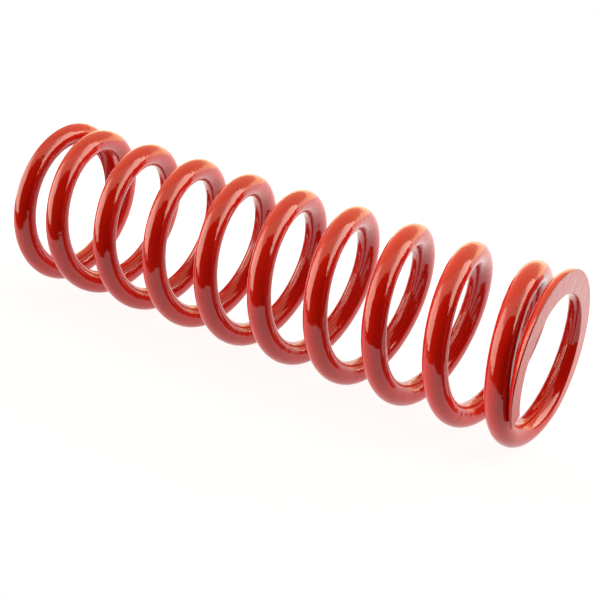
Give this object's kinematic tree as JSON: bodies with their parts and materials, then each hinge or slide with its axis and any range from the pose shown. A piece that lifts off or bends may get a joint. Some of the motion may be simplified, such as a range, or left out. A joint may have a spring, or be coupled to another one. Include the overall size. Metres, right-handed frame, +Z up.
{
  "type": "compression coil spring",
  "caption": "Red powder-coated steel compression coil spring, right-hand wound, with closed and ground ends, lying on its side.",
  "frame": {"origin": "middle of the underside, where the coil lies on the surface", "axes": "+X along the coil's axis from its far end to its near end, +Z up from the surface that the coil lies on"},
  "size_m": [0.1648, 0.0494, 0.0495],
  "materials": {
    "red_powder_coat": "gloss powder coat"
  },
  "bodies": {
    "far_end_coil": {"far_end_coil": "red_powder_coat"},
    "near_end_coil": {"near_end_coil": "red_powder_coat"},
    "active_coil_1a": {"active_coil_1a": "red_powder_coat"},
    "active_coil_1b": {"active_coil_1b": "red_powder_coat"},
    "active_coil_1c": {"active_coil_1c": "red_powder_coat"},
    "active_coil_2a": {"active_coil_2a": "red_powder_coat"},
    "active_coil_2b": {"active_coil_2b": "red_powder_coat"},
    "active_coil_2c": {"active_coil_2c": "red_powder_coat"},
    "active_coil_3a": {"active_coil_3a": "red_powder_coat"},
    "active_coil_3b": {"active_coil_3b": "red_powder_coat"},
    "active_coil_3c": {"active_coil_3c": "red_powder_coat"},
    "active_coil_4a": {"active_coil_4a": "red_powder_coat"},
    "active_coil_4b": {"active_coil_4b": "red_powder_coat"},
    "active_coil_4c": {"active_coil_4c": "red_powder_coat"},
    "active_coil_5a": {"active_coil_5a": "red_powder_coat"},
    "active_coil_5b": {"active_coil_5b": "red_powder_coat"},
    "active_coil_5c": {"active_coil_5c": "red_powder_coat"},
    "active_coil_6a": {"active_coil_6a": "red_powder_coat"},
    "active_coil_6b": {"active_coil_6b": "red_powder_coat"},
    "active_coil_6c": {"active_coil_6c": "red_powder_coat"},
    "active_coil_7a": {"active_coil_7a": "red_powder_coat"},
    "active_coil_7b": {"active_coil_7b": "red_powder_coat"},
    "active_coil_7c": {"active_coil_7c": "red_powder_coat"},
    "active_coil_8a": {"active_coil_8a": "red_powder_coat"},
    "active_coil_8b": {"active_coil_8b": "red_powder_coat"},
    "active_coil_8c": {"active_coil_8c": "red_powder_coat"}
  },
  "joints": [
    {"name": "compression", "type": "slide", "parent": "far_end_coil", "child": "near_end_coil", "axis": [-1, 0, 0], "range_m": [0, 0.085], "stiffness_N_per_m": 29700},
    {"name": "active_coil_1a_share", "type": "slide", "parent": "far_end_coil", "child": "active_coil_1a", "axis": [-1, 0, 0], "range_m": [0, 0.0019]},
    {"name": "active_coil_1b_share", "type": "slide", "parent": "far_end_coil", "child": "active_coil_1b", "axis": [-1, 0, 0], "range_m": [0, 0.0055]},
    {"name": "active_coil_1c_share", "type": "slide", "parent": "far_end_coil", "child": "active_coil_1c", "axis": [-1, 0, 0], "range_m": [0, 0.009]},
    {"name": "active_coil_2a_share", "type": "slide", "parent": "far_end_coil", "child": "active_coil_2a", "axis": [-1, 0, 0], "range_m": [0, 0.0125]},
    {"name": "active_coil_2b_share", "type": "slide", "parent": "far_end_coil", "child": "active_coil_2b", "axis": [-1, 0, 0], "range_m": [0, 0.0161]},
    {"name": "active_coil_2c_share", "type": "slide", "parent": "far_end_coil", "child": "active_coil_2c", "axis": [-1, 0, 0], "range_m": [0, 0.0196]},
    {"name": "active_coil_3a_share", "type": "slide", "parent": "far_end_coil", "child": "active_coil_3a", "axis": [-1, 0, 0], "range_m": [0, 0.0232]},
    {"name": "active_coil_3b_share", "type": "slide", "parent": "far_end_coil", "child": "active_coil_3b", "axis": [-1, 0, 0], "range_m": [0, 0.0267]},
    {"name": "active_coil_3c_share", "type": "slide", "parent": "far_end_coil", "child": "active_coil_3c", "axis": [-1, 0, 0], "range_m": [0, 0.0303]},
    {"name": "active_coil_4a_share", "type": "slide", "parent": "far_end_coil", "child": "active_coil_4a", "axis": [-1, 0, 0], "range_m": [0, 0.0338]},
    {"name": "active_coil_4b_share", "type": "slide", "parent": "far_end_coil", "child": "active_coil_4b", "axis": [-1, 0, 0], "range_m": [0, 0.0373]},
    {"name": "active_coil_4c_share", "type": "slide", "parent": "far_end_coil", "child": "active_coil_4c", "axis": [-1, 0, 0], "range_m": [0, 0.0409]},
    {"name": "active_coil_5a_share", "type": "slide", "parent": "far_end_coil", "child": "active_coil_5a", "axis": [-1, 0, 0], "range_m": [0, 0.0444]},
    {"name": "active_coil_5b_share", "type": "slide", "parent": "far_end_coil", "child": "active_coil_5b", "axis": [-1, 0, 0], "range_m": [0, 0.048]},
    {"name": "active_coil_5c_share", "type": "slide", "parent": "far_end_coil", "child": "active_coil_5c", "axis": [-1, 0, 0], "range_m": [0, 0.0515]},
    {"name": "active_coil_6a_share", "type": "slide", "parent": "far_end_coil", "child": "active_coil_6a", "axis": [-1, 0, 0], "range_m": [0, 0.055]},
    {"name": "active_coil_6b_share", "type": "slide", "parent": "far_end_coil", "child": "active_coil_6b", "axis": [-1, 0, 0], "range_m": [0, 0.0586]},
    {"name": "active_coil_6c_share", "type": "slide", "parent": "far_end_coil", "child": "active_coil_6c", "axis": [-1, 0, 0], "range_m": [0, 0.0621]},
    {"name": "active_coil_7a_share", "type": "slide", "parent": "far_end_coil", "child": "active_coil_7a", "axis": [-1, 0, 0], "range_m": [0, 0.0657]},
    {"name": "active_coil_7b_share", "type": "slide", "parent": "far_end_coil", "child": "active_coil_7b", "axis": [-1, 0, 0], "range_m": [0, 0.0692]},
    {"name": "active_coil_7c_share", "type": "slide", "parent": "far_end_coil", "child": "active_coil_7c", "axis": [-1, 0, 0], "range_m": [0, 0.0728]},
    {"name": "active_coil_8a_share", "type": "slide", "parent": "far_end_coil", "child": "active_coil_8a", "axis": [-1, 0, 0], "range_m": [0, 0.0763]},
    {"name": "active_coil_8b_share", "type": "slide", "parent": "far_end_coil", "child": "active_coil_8b", "axis": [-1, 0, 0], "range_m": [0, 0.0798]},
    {"name": "active_coil_8c_share", "type": "slide", "parent": "far_end_coil", "child": "active_coil_8c", "axis": [-1, 0, 0], "range_m": [0, 0.0834]}
  ],
  "couplings": [
    {"joint": "active_coil_1a_share", "follows": "compression", "ratio": 0.02083},
    {"joint": "active_coil_1b_share", "follows": "compression", "ratio": 0.0625},
    {"joint": "active_coil_1c_share", "follows": "compression", "ratio": 0.10417},
    {"joint": "active_coil_2a_share", "follows": "compression", "ratio": 0.14583},
    {"joint": "active_coil_2b_share", "follows": "compression", "ratio": 0.1875},
    {"joint": "active_coil_2c_share", "follows": "compression", "ratio": 0.22917},
    {"joint": "active_coil_3a_share", "follows": "compression", "ratio": 0.27083},
    {"joint": "active_coil_3b_share", "follows": "compression", "ratio": 0.3125},
    {"joint": "active_coil_3c_share", "follows": "compression", "ratio": 0.35417},
    {"joint": "active_coil_4a_share", "follows": "compression", "ratio": 0.39583},
    {"joint": "active_coil_4b_share", "follows": "compression", "ratio": 0.4375},
    {"joint": "active_coil_4c_share", "follows": "compression", "ratio": 0.47917},
    {"joint": "active_coil_5a_share", "follows": "compression", "ratio": 0.52083},
    {"joint": "active_coil_5b_share", "follows": "compression", "ratio": 0.5625},
    {"joint": "active_coil_5c_share", "follows": "compression", "ratio": 0.60417},
    {"joint": "active_coil_6a_share", "follows": "compression", "ratio": 0.64583},
    {"joint": "active_coil_6b_share", "follows": "compression", "ratio": 0.6875},
    {"joint": "active_coil_6c_share", "follows": "compression", "ratio": 0.72917},
    {"joint": "active_coil_7a_share", "follows": "compression", "ratio": 0.77083},
    {"joint": "active_coil_7b_share", "follows": "compression", "ratio": 0.8125},
    {"joint": "active_coil_7c_share", "follows": "compression", "ratio": 0.85417},
    {"joint": "active_coil_8a_share", "follows": "compression", "ratio": 0.89583},
    {"joint": "active_coil_8b_share", "follows": "compression", "ratio": 0.9375},
    {"joint": "active_coil_8c_share", "follows": "compression", "ratio": 0.97917}
  ]
}
